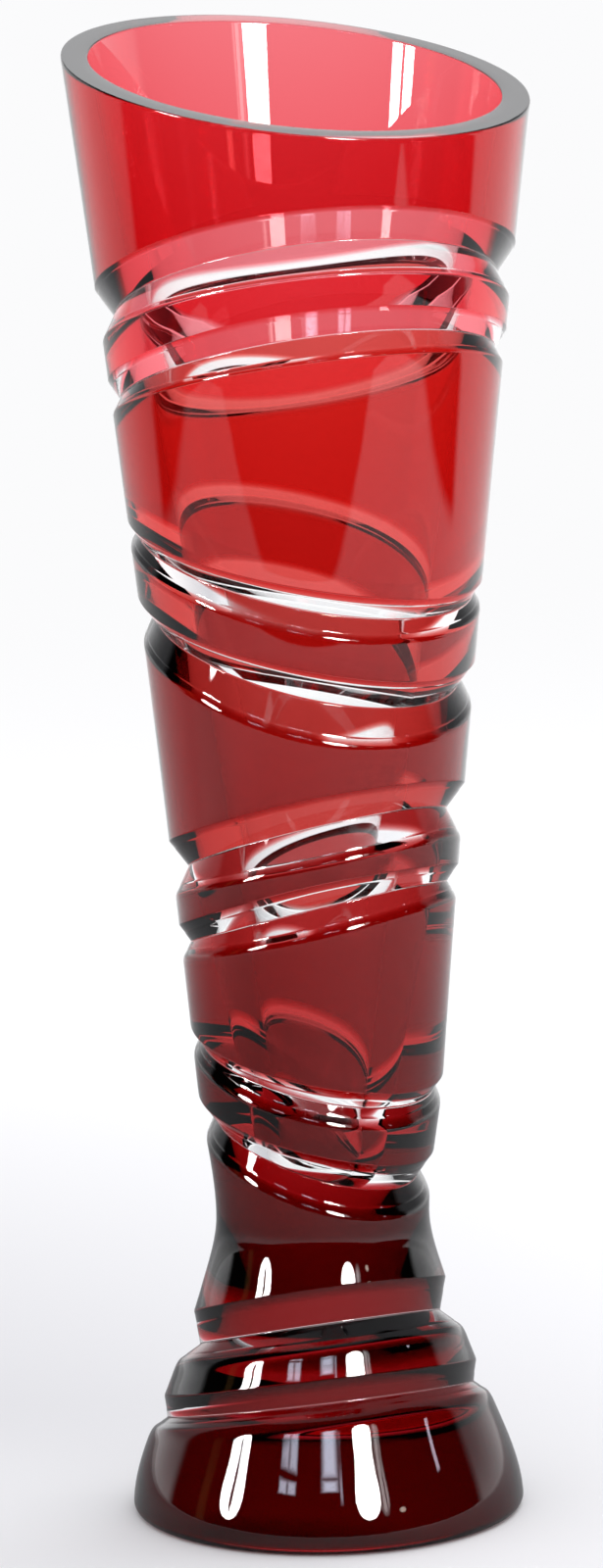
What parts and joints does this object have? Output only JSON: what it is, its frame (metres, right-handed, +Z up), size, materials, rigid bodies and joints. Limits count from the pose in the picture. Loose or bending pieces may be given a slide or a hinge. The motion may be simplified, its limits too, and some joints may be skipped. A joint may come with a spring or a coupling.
{
  "type": "cased crystal vase",
  "caption": "Tall trumpet vase of clear crystal cased in ruby glass, with slanting V-cut rings, a narrow waist, a flared foot and a slanting rim; holds cut flowers.",
  "frame": {"origin": "centre of the flat base, on the surface the vase stands on", "axes": "+Z up the axis of the vase, +X to the viewer's right in the picture, +Y away from the viewer; the rim is highest at the back left"},
  "size_m": [0.0956, 0.0956, 0.3106],
  "materials": {
    "crystal": "polished clear",
    "ruby": "polished ruby"
  },
  "bodies": {
    "root": {"crystal_body": "crystal", "foot_band": "ruby", "lowest_narrow_band": "ruby", "waist_band": "ruby", "lower_narrow_band": "ruby", "lower_wide_band": "ruby", "middle_narrow_band": "ruby", "middle_wide_band": "ruby", "upper_narrow_band": "ruby", "upper_wide_band": "ruby", "highest_narrow_band": "ruby", "rim_band": "ruby"}
  },
  "joints": []
}
